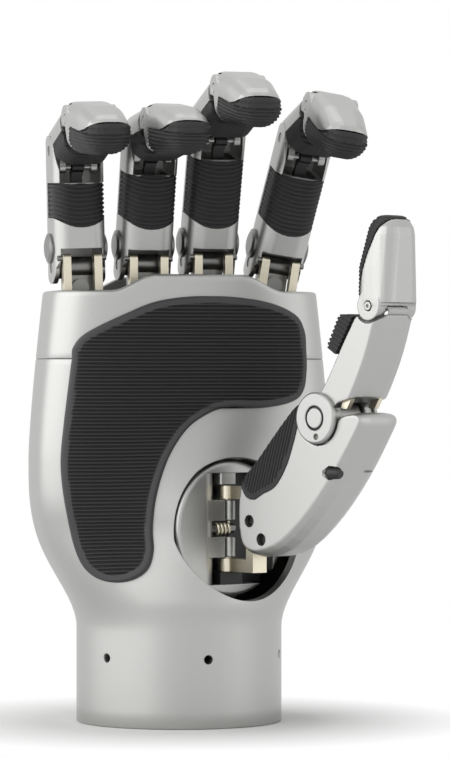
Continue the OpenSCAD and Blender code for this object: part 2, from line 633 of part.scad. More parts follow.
// Coupler bars that carry the knuckle's motion on to the tip joint
link_x = 5.8;
link_w = 1.6;
link_shape = [[49.8, 35.6], [52.2, 35.4], [54.8, 39.6], [52.6, 41.6]];
module thumb_links() color(nickel) at_thumb() for (x = [-link_x, link_x])
    across_at(x, link_w) polygon(link_shape);

// ---------------------------------------------------------------- thumb base
slot_half = table_r - 3.4;
slot_left = 8;
slot_deep = 7;
lug_low = 2.4;
lug_high = 8.4;
base_pin_w = -2.4;
module thumb_turntable() color(silver) at_turntable() {
    difference() {
        union() {
            translate([0, 0, -table_t]) cylinder(r = table_r, h = table_t - 0.5, $fn = 96);
            translate([0, 0, -0.5]) cylinder(r1 = table_r, r2 = table_r - 0.5, h = 0.5, $fn = 96);
            translate([0, 0, -table_t - spindle_len]) cylinder(r = spindle_r, h = spindle_len + 1, $fn = 64);
        }
        translate([-slot_left, -slot_half, -slot_deep]) cube([slot_left + 15, 2 * slot_half, 20]);
    }
    for (y = [-lug_high, lug_low]) difference() {
        union() {
            translate([-9, y, -7.5]) cube([9, lug_high - lug_low, 7.4]);
            translate([0, y, base_pin_w]) rotate([-90, 0, 0]) cylinder(r = 2.3, h = lug_high - lug_low, $fn = 40);
        }
        translate([0, 0, base_pin_w]) rotate([90, 0, 0]) cylinder(d = pin_d - 0.6, h = 60, center = true, $fn = 32);
    }
}
base_pin_end = 12.4;
module thumb_base_pin() color(nickel) at_turntable() for (y = [-base_pin_end, lug_low])
    translate([0, y, base_pin_w]) rotate([-90, 0, 0]) cylinder(d = pin_d - 0.6, h = base_pin_end - lug_low, $fn = 32);
module thumb_bracket() color(nickel) at_turntable() difference() {
    union() {
        for (y = [-12.6, lug_high + run_gap]) translate([0, y, base_pin_w]) {
            rotate([-90, 0, 0]) cylinder(r = 2.6, h = 3.8, $fn = 40);
            translate([-1, 0, 0]) cube([5, 3.8, 12]);
        }
        translate([-1, -12.6, 8]) cube([5, 25, 3.4]);
    }
    translate([0, 0, base_pin_w]) rotate([90, 0, 0]) cylinder(d = pin_d - 0.6 + 2 * pin_gap, h = 60, center = true, $fn = 32);
}
module thumb_worm() color(nickel) at_turntable() translate([0, 0, base_pin_w - 0.4]) rotate([0, 90, 0]) {
    translate([0, 0, -6.4]) cylinder(d = 2.4, h = 9.4, $fn = 32);
    for (k = [0:3]) translate([0, 0, -3.4 + 1.5 * k]) cylinder(d = 4, h = 0.8, $fn = 32);
}
stop_w = 8;
module thumb_stop_block() color(black) at_turntable() 
    translate([-stop_w / 2, 0.1 - slot_half, -slot_deep]) cube([stop_w, 3.5, 6.6]);

palm_shell();
knuckle_shell();
palm_pad();
palm_frame();
finger_actuators();
thumb_actuator();
control_board();
for (i = [0:3]) {
    knuckle(i);
    proximal_shell(i);
    proximal_pad(i);
    pins(i);
    drive_bars(i);
    curl_rod(i);
    middle_shell(i);
    middle_pad(i);
    distal_shell(i);
    distal_pad(i);
}
thumb_turntable();
thumb_base_pin();
thumb_bracket();
thumb_worm();
thumb_stop_block();
thumb_metacarpal_shell();
thumb_metacarpal_pad();
thumb_caps();
thumb_links();
thumb_proximal_shell();
thumb_proximal_pad();
thumb_distal_shell();
thumb_distal_pad();
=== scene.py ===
# %% [markdown]
# # A five-digit robot hand
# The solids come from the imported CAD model, in metres, and never move. This script dresses them: it builds
# the smooth housings and the ribbed rubber pads that plain solids can't give, paints every piece, and lights it.

# %% Load the frame
import json
import math
import bpy
import bmesh
import numpy as np
from mathutils import Matrix, Vector


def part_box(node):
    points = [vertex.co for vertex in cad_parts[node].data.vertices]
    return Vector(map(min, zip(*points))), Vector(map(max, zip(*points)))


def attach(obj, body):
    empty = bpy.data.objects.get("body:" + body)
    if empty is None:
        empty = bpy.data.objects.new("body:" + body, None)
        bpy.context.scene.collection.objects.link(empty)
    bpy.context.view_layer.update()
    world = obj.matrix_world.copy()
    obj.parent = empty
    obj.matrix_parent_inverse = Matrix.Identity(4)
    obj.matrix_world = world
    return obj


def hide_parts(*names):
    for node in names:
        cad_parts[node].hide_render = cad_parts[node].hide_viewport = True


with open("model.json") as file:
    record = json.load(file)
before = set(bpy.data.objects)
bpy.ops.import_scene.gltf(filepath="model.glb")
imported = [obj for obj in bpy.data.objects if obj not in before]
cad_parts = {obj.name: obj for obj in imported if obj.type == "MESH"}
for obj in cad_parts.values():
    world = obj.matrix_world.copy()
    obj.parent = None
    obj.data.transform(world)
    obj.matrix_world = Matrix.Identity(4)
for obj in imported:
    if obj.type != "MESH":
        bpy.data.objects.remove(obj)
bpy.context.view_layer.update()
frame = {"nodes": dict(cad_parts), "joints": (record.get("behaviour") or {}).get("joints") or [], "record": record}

MM = 0.001
JOINTS = {j["name"]: j for j in frame["joints"]}
RATIOS = {c["joint"]: c["ratio"] for c in frame["record"]["behaviour"]["couplings"]}
FINGERS = ("pinky", "ring", "middle", "index")


# %% [markdown]
# ## Materials
# Satin aluminium shells, moulded rubber pads, plated steel links and the dark parts inside make the whole hand.
# Each finish is a Principled shader whose roughness and bump come from noise at a real grain size.

# %% Colour and node helpers
def linear(hex_colour):
    """An sRGB hex colour as the linear RGBA that Blender's shaders want."""
    raw = [int(hex_colour[i:i + 2], 16) / 255 for i in (1, 3, 5)]
    return [c / 12.92 if c <= 0.04045 else ((c + 0.055) / 1.055) ** 2.4 for c in raw] + [1.0]


def add(tree, kind, settings=None, **links):
    """Adds a node: settings are its attributes or input values, links join its inputs to other nodes' outputs."""
    node = tree.nodes.new("ShaderNode" + kind)
    for key, value in (settings or {}).items():
        if key in node.inputs:
            node.inputs[key].default_value = value
        else:
            setattr(node, key, value)
    for key, source in links.items():
        tree.links.new(source, node.inputs[key.replace("_", " ")])
    return node


def new_material(name, colour, metallic, roughness):
    """A Principled material, returned with its node tree and shader."""
    material = bpy.data.materials.new(name)
    material.use_nodes = True
    tree = material.node_tree
    shader = tree.nodes["Principled BSDF"]
    shader.inputs["Base Color"].default_value = linear(colour)
    shader.inputs["Metallic"].default_value = metallic
    shader.inputs["Roughness"].default_value = roughness
    material.diffuse_color = linear(colour)
    return material, tree, shader


def grain(material, size_mm, colours, rough, bump_mm, edge_mm=0.0, stretch=(1, 1, 1)):
    """Gives a material noise of a real size that varies its colour and roughness and raises a fine bump."""
    tree = material.node_tree
    shader = tree.nodes["Principled BSDF"]
    where = add(tree, "TexCoord")
    spread = add(tree, "Mapping", {"Scale": stretch}, Vector=where.outputs["Object"])
    noise = add(tree, "TexNoise", {"Scale": 1 / (size_mm * MM), "Detail": 3.0, "Roughness": 0.6},
                Vector=spread.outputs["Vector"])
    tint = add(tree, "MixRGB", {"Color1": linear(colours[0]), "Color2": linear(colours[1])},
               Fac=noise.outputs["Fac"])
    tree.links.new(tint.outputs["Color"], shader.inputs["Base Color"])
    gloss = add(tree, "MapRange", {"To Min": rough[0], "To Max": rough[1]}, Value=noise.outputs["Fac"])
    tree.links.new(gloss.outputs["Result"], shader.inputs["Roughness"])
    bump = add(tree, "Bump", {"Distance": bump_mm * MM, "Strength": 0.5}, Height=noise.outputs["Fac"])
    if edge_mm:
        edge = add(tree, "Bevel", {"Radius": edge_mm * MM, "samples": 4})
        tree.links.new(edge.outputs["Normal"], bump.inputs["Normal"])
    tree.links.new(bump.outputs["Normal"], shader.inputs["Normal"])


# %% The finishes
# Bead-blasted, clear-anodised aluminium: a soft even sheen. The real blast grain is about 0.1 mm and is
# drawn coarser here, so that it still shows
anodised, _, _ = new_material("bead_blasted_anodised_aluminium", "#b1b1af", 1.0, 0.42)
grain(anodised, 0.35, ("#acacaa", "#b6b6b4"), (0.38, 0.46), 0.01, edge_mm=0.3)
# Moulded nitrile rubber: dark, slightly chalky, with the mould's fine matt texture
rubber, _, _ = new_material("moulded_nitrile_rubber", "#2c2c2d", 0.0, 0.6)
grain(rubber, 0.25, ("#1c1c1d", "#29292a"), (0.55, 0.7), 0.03)
# The same rubber along the border of the palm pad, where the mould was polished: smoother, and a little paler as a
# painted sheen
painted_sheen_border_rubber, _, _ = new_material("polished_nitrile_rubber_painted_sheen", "#3c3c3e", 0.0, 0.5)
grain(painted_sheen_border_rubber, 0.25, ("#38383a", "#424244"), (0.46, 0.54), 0.01)
# Electroless nickel over steel: warm, bright, a little worn where the bars rub
nickel, _, _ = new_material("nickel_plated_steel", "#d8d2bd", 1.0, 0.36)
grain(nickel, 1.6, ("#d2cbb5", "#ded8c6"), (0.32, 0.42), 0.004, edge_mm=0.15)
# Turned and milled steel, left bare: darker, with cutter marks drawn out along one way
steel, _, _ = new_material("milled_steel", "#828280", 1.0, 0.35)
grain(steel, 0.5, ("#767674", "#8e8e8c"), (0.28, 0.42), 0.01, edge_mm=0.15, stretch=(1, 1, 6))
# Acetal plastic, moulded black
acetal, _, _ = new_material("black_acetal", "#101010", 0.0, 0.45)
grain(acetal, 0.4, ("#0c0c0c", "#171717"), (0.4, 0.52), 0.01)
# Glass-fibre circuit board under green lacquer
board, _, _ = new_material("lacquered_circuit_board", "#1d5a38", 0.0, 0.35)
grain(board, 1.2, ("#184c2f", "#236a43"), (0.3, 0.42), 0.01)
FINISH = {"anodised_shell": anodised, "rubber_pad": rubber, "machined_steel": steel, "nickel_links": nickel,
          "black_plastic": acetal, "circuit_board": board}
for part in frame["record"]["subparts"]:
    mesh = frame["nodes"][part["node"]].data
    mesh.materials.clear()
    mesh.materials.append(FINISH[part["material_slot"]])
print("painted", len(frame["nodes"]), "CAD nodes with", len(FINISH), "finishes")


# %% [markdown]
# ## Meshes from grids
# Most shapes here are sheets of points in rows, closed at their edges into solids. Working in millimetres keeps
# the numbers readable, and one function scales them, shades them and sets the piece on its body.

# %% Mesh helpers
def place(at, points):
    """Points in a digit's own millimetres, moved to the hand's frame; at is (rotation, origin)."""
    return np.asarray(points, float).reshape(-1, 3) @ at[0].T + at[1]


def finish_mesh(name, mesh, body, slot, nodes, sharp=32):
    """Turns a mesh into a piece: normals out, smooth but for its sharp edges, painted and set on its body."""
    work = bmesh.new()
    work.from_mesh(mesh)
    bmesh.ops.recalc_face_normals(work, faces=work.faces)
    work.to_mesh(mesh)
    work.free()
    mesh.polygons.foreach_set("use_smooth", [True] * len(mesh.polygons))
    mesh.set_sharp_from_angle(angle=math.radians(sharp))
    mesh.materials.clear()
    mesh.materials.append(FINISH[slot])
    piece = bpy.data.objects.new(name, mesh)
    bpy.context.scene.collection.objects.link(piece)
    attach(piece, body)
    if nodes:
        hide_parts(*nodes)
    print(name, len(mesh.vertices), "points")
    return piece


def mesh_mm(name, points, faces):
    """A mesh in metres from points in millimetres."""
    mesh = bpy.data.meshes.new(name)
    mesh.from_pydata((np.asarray(points, float) * MM).tolist(), [], [list(map(int, f)) for f in faces])
    return mesh


def quads(rows, cols, start=0, wrap=False):
    """The faces of a sheet of points in rows; wrap joins the last column to the first."""
    last = cols if wrap else cols - 1
    return [(start + r * cols + c, start + r * cols + (c + 1) % cols,
             start + (r + 1) * cols + (c + 1) % cols, start + (r + 1) * cols + c)
            for r in range(rows - 1) for c in range(last)]


def tube(rings):
    """A closed solid through rings of points: rows x points x 3, with a flat face at each end."""
    rows, cols = rings.shape[:2]
    faces = quads(rows, cols, wrap=True)
    faces += [tuple(range(cols)), tuple(range((rows - 1) * cols, rows * cols))]
    return rings.reshape(-1, 3), faces


def cut(mesh, cutters, operation="DIFFERENCE"):
    """The mesh with every cutter taken away, or only what lies in it; a cutter is (points, faces) in millimetres."""
    scene = bpy.context.scene.collection
    for points, faces in cutters:
        body = bpy.data.objects.new("work", mesh)
        tool = bpy.data.objects.new("tool", mesh_mm("tool", points, faces))
        work = bmesh.new()
        work.from_mesh(tool.data)
        bmesh.ops.recalc_face_normals(work, faces=work.faces)
        work.to_mesh(tool.data)
        work.free()
        for o in (body, tool):
            scene.objects.link(o)
        step = body.modifiers.new("cut", "BOOLEAN")
        step.operation = operation
        step.solver = "EXACT"
        step.object = tool
        seen = bpy.context.evaluated_depsgraph_get()
        mesh = bpy.data.meshes.new_from_object(body.evaluated_get(seen))
        for o in (body, tool):
            bpy.data.objects.remove(o)
    return mesh


def cylinder(at, radii, heights, sides=96):
    """A turned solid about its own Z axis: one ring of the given radius at each height."""
    angles = np.linspace(0, 2 * math.pi, sides, endpoint=False)
    rings = [[(r * math.cos(a), r * math.sin(a), z) for a in angles] for r, z in zip(radii, heights)]
    points, faces = tube(np.array(rings))
    return place(at, points), faces


def prism(at, outline, low, high, order=(0, 1, 2)):
    """An outline drawn out between two heights. order says which local axis gets the height and then the outline."""
    rings = np.array([[(h, u, v) for u, v in outline] for h in (low, high)], float)
    swapped = np.empty_like(rings)
    swapped[..., list(order)] = rings
    points, faces = tube(swapped)
    return place(at, points), faces


# %% [markdown]
# ## Where each digit lies
# The joints' axes and positions say where every phalanx is at rest. From them come a rotation and an origin for
# each one, so a pad can be shaped along its own finger and then set in place.

# %% Placing from the joints
PIN_SET_BACK = 2.2  # the fingertip's pin lies this far behind the finger's middle line


def turn(axis, degrees):
    return np.array(Matrix.Rotation(math.radians(degrees), 3, axis))


def joint_mm(name):
    return np.array(JOINTS[name]["pos_m"]) / MM


def finger_places(finger):
    """(rotation, origin) of a finger's first, middle and last phalanx at rest."""
    axis = JOINTS[finger + "_knuckle_bend"]["axis"]
    side = turn("Y", math.degrees(math.atan2(-axis[2], axis[0])))
    knuckle, middle, tip = (joint_mm(finger + j) for j in ("_knuckle_bend", "_middle_bend", "_tip_bend"))

    def lean(vector):
        local = side.T @ vector
        return math.degrees(math.atan2(-local[1], local[2]))
    first = lean(middle - knuckle)
    length = np.linalg.norm(tip - middle)
    second = lean(tip - middle) + math.degrees(math.asin(PIN_SET_BACK / length))
    last = second + RATIOS[finger + "_tip_bend"] * (second - first)
    return {"proximal": (side @ turn("X", first), knuckle), "middle": (side @ turn("X", second), middle),
            "distal": (side @ turn("X", last), tip)}


PLACES = {finger: finger_places(finger) for finger in FINGERS}
THUMB_AXIS = -np.array(JOINTS["thumb_bend"]["axis"])
THUMB_PLACE = (turn("Z", math.degrees(math.atan2(THUMB_AXIS[1], THUMB_AXIS[0]))), joint_mm("thumb_turn"))
print("finger lengths", {f: round(float(np.linalg.norm(joint_mm(f + "_middle_bend")
                                                     - joint_mm(f + "_knuckle_bend"))), 1) for f in FINGERS})

# %% [markdown]
# ## The palm housing
# The housing swells from a round collar to a broad, flat palm. Its sections are superellipses: round at the wrist,
# squarer higher up. A mound for the ball of the thumb is added to the front of each. Sections are laid close
# together, so the highlights run smoothly, and the openings are then cut with solids as a mill would.

# %% The form of the palm
_, HOUSING_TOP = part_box("palm_shell")
WRIST_R = 30.5
NECK_Z = 28.0
SEAM_Z = HOUSING_TOP.z / MM
WIDE_Z = 79.0
WIDE_HALF = HOUSING_TOP.x / MM
TOP_HALF = 40.7
RIM_Z = 127.5
RIM_RISE = 4.8
FRONT = 19.0
BACK = 17.0
WALL = 2.2
THENAR = 8.0
TABLE = joint_mm("thumb_turn")


def smooth(t):
    u = np.clip(t, 0, 1)
    return u * u * (3 - 2 * u)


def mix(a, b, t):
    return a + (b - a) * t


def half_width(z):
    u = np.clip((z - NECK_Z) / (WIDE_Z - NECK_Z), 0, 1)
    low = mix(WRIST_R, WIDE_HALF, smooth(0.93 * np.sin(math.pi / 2 * u) + 0.07 * u))
    high = mix(WIDE_HALF, TOP_HALF, np.clip((z - WIDE_Z) / (RIM_Z - WIDE_Z), 0, 2) ** 1.3)
    return np.where(z <= WIDE_Z, low, high)


def front_y(z):
    return -mix(WRIST_R, FRONT, smooth((z - NECK_Z) / 32))


def back_y(z):
    return mix(WRIST_R, BACK, smooth((z - NECK_Z) / 36))


def squareness(z):
    return mix(2, 3.4, smooth((z - NECK_Z) / 40))


def thenar(x, z):
    spot = (x - TABLE[0] + 9) ** 2 + (z - TABLE[2]) ** 2
    return THENAR * smooth((z - NECK_Z) / 9) * np.exp(-spot / 392)


def signed_power(v, p):
    return np.sign(v) * np.abs(v) ** p


def palm_ring(z, angles, inset=0.0, mound=1.0):
    """Points of the palm's section at height z, drawn in by inset."""
    z = np.asarray(z, float) + 0 * angles
    power = 2 / squareness(z)
    deep = (back_y(z) - front_y(z)) / 2 - inset
    x = (half_width(z) - inset) * signed_power(np.cos(angles), power)
    y = deep * signed_power(np.sin(angles), power)
    swell = mound * thenar(x, z) * np.clip(-y / deep * 1.6, 0, 1)
    return np.stack([x, (back_y(z) + front_y(z)) / 2 + y - swell, z], axis=-1)


def palm_face(x, z, lift=0.0):
    """The y of the palm's front at x and z, lift millimetres proud of the housing."""
    wide = half_width(z) + lift
    deep = (back_y(z) - front_y(z)) / 2 + lift
    n = squareness(z)
    y = deep * np.clip(1 - np.abs(x / wide) ** n, 0, 1) ** (1 / n)
    return (back_y(z) + front_y(z)) / 2 - y - thenar(x, z) * np.clip(y / deep * 1.6, 0, 1)


# %% Housing
RING = np.linspace(0, 2 * math.pi, 200, endpoint=False)
levels = np.concatenate([np.linspace(NECK_Z, 60, 30), np.linspace(61.5, SEAM_Z - 0.35, 30)])
circle = np.stack([np.cos(RING), np.sin(RING), 0 * RING], axis=-1)
SOCKET = [(26.5, 33), (25, 25.2), (28, 25), (28, 0.4), (28.4, 0)]  # the wrist socket, from its depth to its mouth
rings = [circle * r + [0, 0, z] for r, z in SOCKET]
rings += [circle * (WRIST_R - 0.5), circle * (WRIST_R - 0.15) + [0, 0, 0.15], circle * WRIST_R + [0, 0, 0.5]]
rings += [circle * WRIST_R + [0, 0, z] for z in (5, 10, 15, 20, 25)]
rings += [palm_ring(z, RING) for z in levels]
rings += [palm_ring(SEAM_Z - 0.12, RING, 0.1), palm_ring(SEAM_Z, RING, 0.35)]
points, faces = tube(np.array(rings))
housing = mesh_mm("housing", points, faces)
cavity = tube(np.array([palm_ring(z, RING[::2], WALL, 0) for z in np.linspace(NECK_Z + 4, SEAM_Z + 1, 20)]))
table_tilt = math.degrees(math.atan2(JOINTS["thumb_turn"]["axis"][0], -JOINTS["thumb_turn"]["axis"][1]))
TABLE_PLACE = (turn("Z", table_tilt) @ turn("X", 90), TABLE)
TABLE_R = 19.8
pocket = cylinder(TABLE_PLACE, [TABLE_R + 0.5, TABLE_R + 0.5, TABLE_R + 1.1, TABLE_R + 1.1],
                  [-8.5, -1.2, -0.6, 30], 128)
cutters = [cavity, pocket, cylinder(TABLE_PLACE, [6.05, 6.05], [-30, 0])]
for k in range(6):
    spin = turn("Z", 60 * k - 90) @ turn("Y", 90)
    cutters.append(cylinder((spin, np.array([0, 0, 20.2])), [1.2, 1.2, 1.6], [26, 30.1, 31], 32))
housing = cut(housing, cutters)
finish_mesh("palm_housing", housing, "root", "anodised_shell", ["palm_shell"])


# %% Knuckle housing
def even_ring(steps):
    """Angles that lay points evenly round the palm's section at the seam."""
    fine = np.linspace(0, 2 * math.pi, 8000)
    at = palm_ring(SEAM_Z, fine, 0, 0)
    length = np.concatenate([[0], np.cumsum(np.linalg.norm(np.diff(at, axis=0), axis=1))])
    return np.interp(np.linspace(0, length[-1], steps, endpoint=False), length, fine)


RIM_RING = even_ring(360)


def rim_height(x):
    return RIM_Z + RIM_RISE * smooth((x + 27) / 14) * smooth((29 - x) / 14)


def wall_rows(inset, heights):
    """Rows up the knuckle housing's wall: each height is a share of the way from the seam to the wavy rim."""
    rows = []
    for share, extra in heights:
        base = palm_ring(SEAM_Z, RIM_RING, inset + extra, 0 if inset else 1)
        z = SEAM_Z + share * (rim_height(base[:, 0]) - SEAM_Z)
        rows.append(palm_ring(z, RIM_RING, inset + extra, 0 if inset else 1))
    return rows


outside = wall_rows(0, [(0, 0.35), (0.006, 0.1), (0.02, 0)] + [(k, 0) for k in np.linspace(0.1, 0.96, 16)])
lip = wall_rows(0, [(0.97, 0.06), (0.985, 0.24), (0.996, 0.55), (1, 0.95)])
lip += wall_rows(WALL, [(1, -0.55), (0.992, -0.15), (0.98, 0)])
inside = wall_rows(WALL, [(k, 0) for k in np.linspace(0.95, 0, 8)])
sheet = np.array(outside + lip + inside)
rows, cols = sheet.shape[:2]
faces = quads(rows, cols, wrap=True)
faces += [((rows - 1) * cols + c, (rows - 1) * cols + (c + 1) % cols, (c + 1) % cols, c) for c in range(cols)]
finish_mesh("knuckle_housing", mesh_mm("rim", sheet.reshape(-1, 3), faces), "root", "anodised_shell",
            ["knuckle_shell"])

# %% [markdown]
# ## The palm pad
# The palm's grip is a rubber sheet with a smooth border and a field of fine level ribs. A row of points for every
# eighth of a rib follows the outline from side to side, and each point is lifted off the housing by the pad's
# thickness, less the groove where one runs.

# %% Palm pad
RIB_PITCH = 1.05
PAD_T = 1.85
OUTLINE = np.array([[-36.8, 107], [-36.3, 111], [-32.6, 115.2], [-22, 120.5], [-11, 124.6], [4, 126], [20, 124.6],
                    [30, 121], [33.4, 116], [34, 110], [34.1, 104], [33, 98], [29.3, 94.8], [20.3, 93.1],
                    [8.8, 93.1], [2.6, 91.1], [-3.3, 87], [-8.4, 80.1], [-11.7, 72.8], [-13.8, 65.3], [-14.6, 58],
                    [-14.7, 51.6], [-16.6, 46.4], [-20.6, 43.4], [-25.2, 42.5], [-29.4, 43.6], [-33, 46.8],
                    [-35.6, 52.1], [-37.7, 60], [-39.3, 68.8], [-39.9, 78.1], [-39, 88.8], [-37.6, 100.7]])


def closed_curve(points, steps):
    """A smooth closed curve through the points (Catmull-Rom), with so many steps between two of them."""
    a, b, c, d = (np.roll(points, s, axis=0) for s in (1, 0, -1, -2))
    out = []
    for t in np.arange(steps) / steps:
        out.append(0.5 * (2 * b + (c - a) * t + (2 * a - 5 * b + 4 * c - d) * t ** 2
                          + (3 * b - a - 3 * c + d) * t ** 3))
    return np.stack(out, axis=1).reshape(-1, points.shape[1])


def line_distance(points, line, closed=True):
    """Each point's distance to a line of points in the plane."""
    ends = np.roll(line, -1, axis=0) if closed else line[1:]
    starts = line if closed else line[:-1]
    best = np.full(len(points), 1e9)
    for p, q in zip(starts, ends):
        along = q - p
        t = np.clip(((points - p) @ along) / max(along @ along, 1e-9), 0, 1)
        best = np.minimum(best, np.linalg.norm(points - p - t[:, None] * along, axis=1))
    return best


def groove(phase, width=0.5):
    """1 at the middle of each groove and 0 on the ridges, for a phase that counts ribs."""
    wave = 0.5 + 0.5 * np.cos(2 * math.pi * phase)
    return smooth((wave - 1 + width) / width)


def span(line, v):
    """Where the outline is crossed at height v: its leftmost and rightmost x."""
    nxt = np.roll(line, -1, axis=0)
    hit = (line[:, 1] - v) * (nxt[:, 1] - v) <= 0
    p, q = line[hit], nxt[hit]
    rise = np.where(np.abs(q[:, 1] - p[:, 1]) < 1e-9, 1e-9, q[:, 1] - p[:, 1])
    x = p[:, 0] + (q[:, 0] - p[:, 0]) * np.clip((v - p[:, 1]) / rise, 0, 1)
    return x.min(), x.max()


def lifted(x, z, lift):
    """Points lifted off the palm's front along its normal."""
    y = palm_face(x, z)
    e = 0.05
    slope_x = (palm_face(x + e, z) - palm_face(x - e, z)) / (2 * e)
    slope_z = (palm_face(x, z + e) - palm_face(x, z - e)) / (2 * e)
    normal = np.stack([slope_x, -np.ones_like(x), slope_z], axis=-1)
    normal /= np.linalg.norm(normal, axis=-1, keepdims=True)
    return np.stack([x, y, z], axis=-1) + normal * lift[..., None]


edge = closed_curve(OUTLINE, 8)
low, high = edge[:, 1].min() + 0.03, edge[:, 1].max() - 0.03
heights = np.arange(low, high, RIB_PITCH / 8)
shares = 0.5 - 0.5 * np.cos(np.linspace(0, math.pi, 60))
sides = np.array([span(edge, v) for v in heights])
x = sides[:, :1] + (sides[:, 1:] - sides[:, :1]) * shares
z = np.repeat(heights[:, None], len(shares), axis=1)
inward = line_distance(np.stack([x, z], axis=-1).reshape(-1, 2), edge).reshape(x.shape)
rounding = np.sqrt(np.clip(1 - (1 - np.clip(inward / 0.9, 0, 1)) ** 2, 0, 1))
ribs = groove(z / RIB_PITCH, 0.75) * smooth((inward - 2.0) / 0.5)
top = lifted(x, z, 0.08 + (PAD_T - 0.08) * rounding - 0.6 * ribs)
few = np.linspace(0, 1, 14)
xb = sides[:, :1] + (sides[:, 1:] - sides[:, :1]) * few
bottom = lifted(xb, np.repeat(heights[:, None], len(few), axis=1), np.full(xb.shape, 0.05))


def closed_slab(top, bottom):
    """A solid between two sheets with the same number of rows."""
    rows, many = top.shape[:2]
    few = bottom.shape[1]
    shift = rows * many
    faces = quads(rows, many) + quads(rows, few, shift)
    for r in range(rows - 1):
        faces.append((r * many, (r + 1) * many, shift + (r + 1) * few, shift + r * few))
        faces.append(((r + 1) * many - 1, (r + 2) * many - 1, shift + (r + 2) * few - 1, shift + (r + 1) * few - 1))
    for r in (0, rows - 1):
        faces.append([r * many + c for c in range(many)] + [shift + r * few + c for c in reversed(range(few))])
    return np.concatenate([top.reshape(-1, 3), bottom.reshape(-1, 3)]), faces


points, faces = closed_slab(top, bottom)
palm_grip = finish_mesh("palm_grip_pad", mesh_mm("grip", points, faces), "root", "rubber_pad", ["palm_pad"], sharp=60)
palm_grip.data.materials.append(painted_sheen_border_rubber)
# Faces near the pad's outline, and its underside and sides, take the paler border rubber: a painted sheen
BORDER = 2.1
painted_sheen_cells = (inward[:-1, :-1] + inward[1:, 1:]) / 2 < BORDER
palm_grip.data.polygons.foreach_set("material_index", np.concatenate(
    [painted_sheen_cells.ravel().astype(np.int32), np.ones(len(faces) - painted_sheen_cells.size, np.int32)]))

# %% [markdown]
# ## Finger and thumb pads
# The pads on the digits are moulded rubber too, each with its own run of ribs. Their solids are remeshed into even
# small faces, and the ribs are pressed in along the surface normals, so they wrap round the sides as moulded
# ribs do.


# %% Even meshes
def plain_mesh(name, *sources):
    """A welded copy of one or more meshes, so that it closes."""
    copy = bpy.data.meshes.new(name)
    work = bmesh.new()
    for source in sources:
        work.from_mesh(source)
    bmesh.ops.remove_doubles(work, verts=work.verts, dist=0.002 * MM)
    work.to_mesh(copy)
    work.free()
    return copy


def keep_largest(mesh):
    """Removes every loose part but the one with the most points."""
    work = bmesh.new()
    work.from_mesh(mesh)
    left, parts = set(work.verts), []
    while left:
        part, edge_of_part = set(), {left.pop()}
        while edge_of_part:
            part |= edge_of_part
            edge_of_part = {e.other_vert(v) for v in edge_of_part for e in v.link_edges} - part
        parts.append(part)
        left -= part
    largest = max(parts, key=len)
    bmesh.ops.delete(work, geom=[v for v in work.verts if v not in largest], context="VERTS")
    work.to_mesh(mesh)
    work.free()
    return mesh


def even(mesh, voxel, passes):
    """The mesh remeshed into small even faces, with its edges softened by some smoothing passes."""
    holder = bpy.data.objects.new("work", mesh)
    bpy.context.scene.collection.objects.link(holder)
    step = holder.modifiers.new("even", "REMESH")
    step.mode = "VOXEL"
    step.voxel_size = voxel * MM
    soften = holder.modifiers.new("soften", "SMOOTH")
    soften.iterations = passes
    soften.factor = 0.5
    seen = bpy.context.evaluated_depsgraph_get()
    result = bpy.data.meshes.new_from_object(holder.evaluated_get(seen))
    bpy.data.objects.remove(holder)
    return result


def press_ribs(mesh, at, phase, depth, width, mask=None):
    """Presses grooves in along the normals where phase(local points) is a whole number."""
    flat = np.zeros(len(mesh.vertices) * 3, np.float32)
    mesh.vertices.foreach_get("co", flat)
    normals = np.array([v.normal for v in mesh.vertices])
    world = flat.reshape(-1, 3).astype(float) / MM
    local = (world - at[1]) @ at[0]
    sunk = depth * groove(phase(local), width)
    if mask is not None:
        sunk = sunk * mask(local)
    world = world - normals * sunk[:, None]
    mesh.vertices.foreach_set("co", (world * MM).astype(np.float32).ravel())


# %% Ribbed pads
def ribbed_pad(name, node, body, at, phase, depth, voxel=0.24, width=0.6, mask=None, source=None):
    """A pad made from its solid, or from another mesh that stands for it, with its ribs pressed in."""
    mesh = even(source or plain_mesh(name, frame["nodes"][node].data), voxel, 3)
    press_ribs(mesh, at, phase, depth, width, mask)
    return finish_mesh(name, mesh, body, "rubber_pad", [node], sharp=180)


# The rim of a fingertip's pad seen from the front: up one side, round the tip and down the other
TIP_SIDE = np.array([[7.8, 0], [7.7, 8], [7.5, 14], [7.3, 19], [6.2, 22.5], [4.3, 24.2], [2.4, 24.9]])
TIP_RIM = np.concatenate([TIP_SIDE, TIP_SIDE[::-1] * [-1, 1]])
TIP_PITCH = 1.1


def tip_phase(local):
    """Counts ribs inwards from the rim of the fingertip's pad, so they nest round the tip."""
    split = -1.7 - 0.07 * local[:, 2]
    below = np.maximum(split - local[:, 1], 0)
    reach = line_distance(local[:, [0, 2]], TIP_RIM, closed=False)
    return np.hypot(below, reach) / TIP_PITCH


# %% Finger pads
FIRST_PITCH = 1.3
FIRST_SAG = 1.5  # how far a first pad's ribs rise from the middle of the finger to its sides
SECOND_PITCH = 0.95
FINGER_HALF = 7.8
for finger in FINGERS:
    at = PLACES[finger]
    ribbed_pad(finger + "_first_pad", finger + "_proximal_pad", finger + "_proximal", at["proximal"],
               lambda p: (p[:, 2] - FIRST_SAG * np.minimum(np.abs(p[:, 0]) / FINGER_HALF, 1) ** 2) / FIRST_PITCH,
               0.5, 0.24, 0.7)
    ribbed_pad(finger + "_second_pad", finger + "_middle_pad", finger + "_middle", at["middle"],
               lambda p: p[:, 2] / SECOND_PITCH, 0.36)
    ribbed_pad(finger + "_tip_pad", finger + "_distal_pad", finger + "_distal", at["distal"], tip_phase, 0.5,
               width=0.8)

# %% [markdown]
# ## The thumb's pads
# The ball of the thumb has a let-in pad with a smooth border and steep ribs. A short ribbed block sits on the
# first phalanx and a strip runs up to the tip. The block is a drawn-out outline, remeshed like the others.

